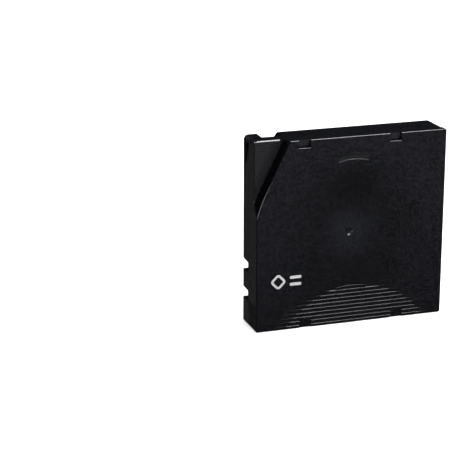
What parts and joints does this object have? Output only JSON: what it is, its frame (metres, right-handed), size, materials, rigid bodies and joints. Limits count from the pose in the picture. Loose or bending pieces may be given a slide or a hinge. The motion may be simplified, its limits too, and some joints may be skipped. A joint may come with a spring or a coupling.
{
  "type": "tape cleaning cartridge",
  "caption": "Black half-inch single-reel tape cleaning cartridge with a ribbed finger grip, a slanted guide recess, a sprung door for the leader pin and a geared hub.",
  "frame": {"origin": "centre of the end that the cartridge stands on, the label end", "axes": "+Z along the way that the cartridge goes into a drive, +X across its width towards the door wall, +Y through its thickness towards the hub face; the ribbed face looks along -Y"},
  "size_m": [0.1054, 0.0216, 0.102],
  "materials": {
    "case_plastic": "fine-grained moulded black",
    "door_plastic": "smooth moulded black",
    "tab_plastic": "moulded red",
    "reel_plastic": "natural light grey moulded plastic",
    "flange_plastic": "natural light grey moulded plastic",
    "release_plastic": "natural white low-friction plastic",
    "brake_plastic": "natural white low-friction plastic",
    "clip_plastic": "natural moulded plastic",
    "tape_film": "wound dark brown film",
    "plate_steel": "blanked sheet steel",
    "screw_steel": "zinc-plated steel",
    "spring_steel": "spring steel",
    "pin_steel": "turned steel",
    "board_laminate": "green solder mask",
    "chip_resin": "black moulding resin"
  },
  "bodies": {
    "case": {"cover_shell": "case_plastic", "base_shell": "case_plastic", "case_screws": "screw_steel", "leader_pin": "pin_steel", "leader_clip": "clip_plastic", "tape_leader": "tape_film", "pin_spring": "spring_steel", "memory_board": "board_laminate", "memory_chip": "chip_resin", "door_spring": "spring_steel", "brake_spring": "spring_steel"},
    "reel": {"reel_hub": "reel_plastic", "reel_flange": "flange_plastic", "drive_plate": "plate_steel", "tape_pack": "tape_film"},
    "release": {"release_pad": "release_plastic"},
    "brake": {"brake_button": "brake_plastic"},
    "door": {"door": "door_plastic"},
    "tab": {"write_protect_tab": "tab_plastic"}
  },
  "joints": [
    {"name": "reel_spin", "type": "hinge", "parent": "case", "child": "reel", "pos_m": [-0.0015, 0, 0.051], "axis": [0, 1, 0], "continuous": true},
    {"name": "brake_lift", "type": "slide", "parent": "case", "child": "brake", "axis": [0, -1, 0], "range_m": [0, 0.0018], "stiffness_N_per_m": 1000, "springref_m": -0.006, "deforming": ["brake_spring"]},
    {"name": "release_press", "type": "slide", "parent": "reel", "child": "release", "axis": [0, -1, 0], "range_m": [0, 0.0018]},
    {"name": "door_slide", "type": "slide", "parent": "case", "child": "door", "axis": [0, 0, -1], "range_m": [0, 0.02], "stiffness_N_per_m": 20, "springref_m": -0.02, "deforming": ["door_spring"]},
    {"name": "write_protect_slide", "type": "slide", "parent": "case", "child": "tab", "axis": [1, 0, 0], "range_m": [0, 0.005]}
  ],
  "couplings": [
    {"joint": "release_press", "follows": "brake_lift", "ratio": 1}
  ]
}
